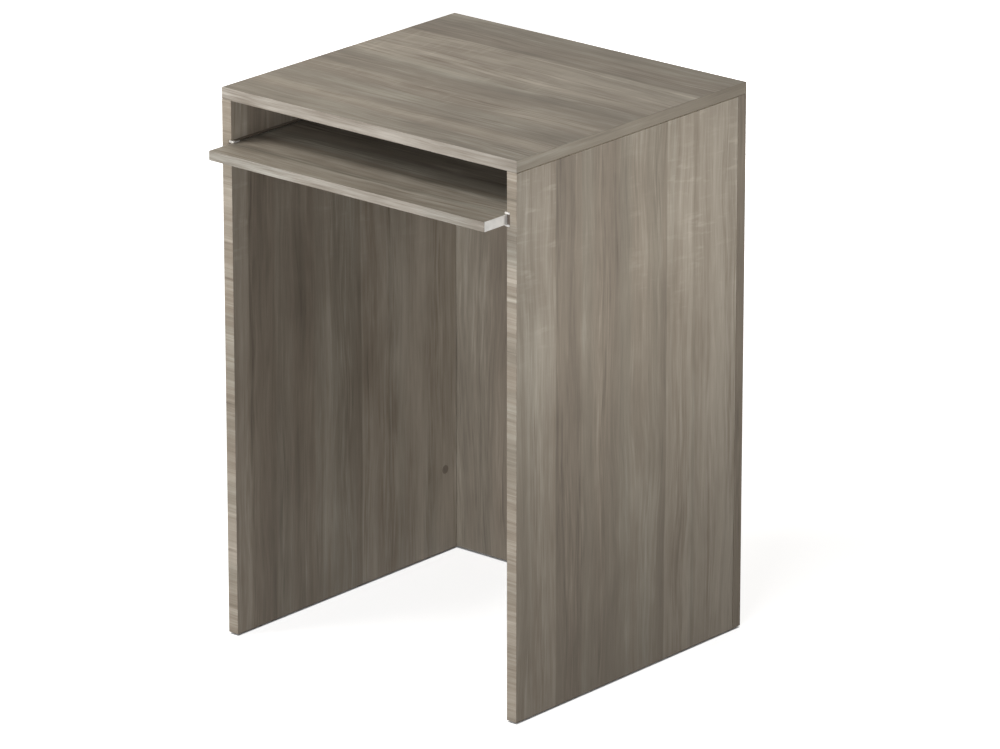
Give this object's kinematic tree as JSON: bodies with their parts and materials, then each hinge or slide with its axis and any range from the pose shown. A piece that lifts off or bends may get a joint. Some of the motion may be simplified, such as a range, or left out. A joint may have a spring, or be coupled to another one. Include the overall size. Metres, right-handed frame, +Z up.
{
  "type": "washing machine cabinet",
  "caption": "Open-front bay cabinet for a washing machine, with a flush top, full back and a pull-out shelf that slides in brown guides under the top.",
  "frame": {"origin": "centre of the footprint on the floor, with the shelf pulled out 60 mm as in the picture", "axes": "+Z up, -Y towards the open front, +X to the right seen from the front; the cabinet's front plane is at Y = -0.289 and its back at Y = 0.349"},
  "size_m": [0.695, 0.698, 1.05],
  "materials": {
    "oak_decor": "satin sawn-oak melamine",
    "oak_edging": "satin printed edging",
    "white_edging": "satin",
    "brown_steel": "satin epoxy coat",
    "white_nylon": "moulded satin",
    "grey_rubber": "matt",
    "zinc": "die-cast, satin",
    "plated_steel": "zinc plated",
    "beech": "raw",
    "grey_glide": "moulded"
  },
  "bodies": {
    "cabinet": {"back_edging_left": "oak_edging", "back_edging_right": "oak_edging", "back_panel": "oak_decor", "cam_bolt_left_back_high": "plated_steel", "cam_bolt_left_back_low": "plated_steel", "cam_bolt_left_top_front": "plated_steel", "cam_bolt_left_top_rear": "plated_steel", "cam_bolt_right_back_high": "plated_steel", "cam_bolt_right_back_low": "plated_steel", "cam_bolt_right_top_front": "plated_steel", "cam_bolt_right_top_rear": "plated_steel", "cam_lock_left_back_high": "zinc", "cam_lock_left_back_low": "zinc", "cam_lock_left_top_front": "zinc", "cam_lock_left_top_rear": "zinc", "cam_lock_right_back_high": "zinc", "cam_lock_right_back_low": "zinc", "cam_lock_right_top_front": "zinc", "cam_lock_right_top_rear": "zinc", "closing_bumper_left": "grey_rubber", "closing_bumper_right": "grey_rubber", "dowel_back_left": "beech", "dowel_back_right": "beech", "dowel_left_back": "beech", "dowel_left_top": "beech", "dowel_right_back": "beech", "dowel_right_top": "beech", "floor_glide_left_front": "grey_glide", "floor_glide_left_rear": "grey_glide", "floor_glide_right_front": "grey_glide", "floor_glide_right_rear": "grey_glide", "guide_channel_left": "brown_steel", "guide_channel_right": "brown_steel", "guide_screw_left_front": "plated_steel", "guide_screw_left_middle": "plated_steel", "guide_screw_left_rear": "plated_steel", "guide_screw_right_front": "plated_steel", "guide_screw_right_middle": "plated_steel", "guide_screw_right_rear": "plated_steel", "guide_shoe_left": "white_nylon", "guide_shoe_right": "white_nylon", "pull_out_stop_left": "white_nylon", "pull_out_stop_right": "white_nylon", "side_edging_left": "oak_edging", "side_edging_right": "oak_edging", "side_panel_left": "oak_decor", "side_panel_right": "oak_decor", "top_edging_front": "oak_edging", "top_edging_left": "oak_edging", "top_edging_rear": "oak_edging", "top_edging_right": "oak_edging", "top_panel": "oak_decor"},
    "shelf": {"shelf_board": "oak_decor", "shelf_edging_front": "oak_edging", "shelf_edging_left": "white_edging", "shelf_edging_right": "white_edging", "roller_axle_left": "plated_steel", "roller_axle_right": "plated_steel"},
    "roller_left": {"shelf_roller_left": "white_nylon"},
    "roller_right": {"shelf_roller_right": "white_nylon"}
  },
  "joints": [
    {"name": "shelf_slide", "type": "slide", "parent": "cabinet", "child": "shelf", "axis": [0, -1, 0], "range_m": [-0.06, 0.24]},
    {"name": "roller_left_spin", "type": "hinge", "parent": "shelf", "child": "roller_left", "pos_m": [-0.3276, 0.171, 0.9398], "axis": [1, 0, 0], "range_deg": [-295.8, 1177.3]},
    {"name": "roller_right_spin", "type": "hinge", "parent": "shelf", "child": "roller_right", "pos_m": [0.3276, 0.171, 0.9398], "axis": [1, 0, 0], "range_deg": [-295.8, 1177.3]}
  ],
  "couplings": [
    {"joint": "roller_left_spin", "follows": "shelf_slide", "rad_per_m": 85.47},
    {"joint": "roller_right_spin", "follows": "shelf_slide", "rad_per_m": 85.47}
  ]
}
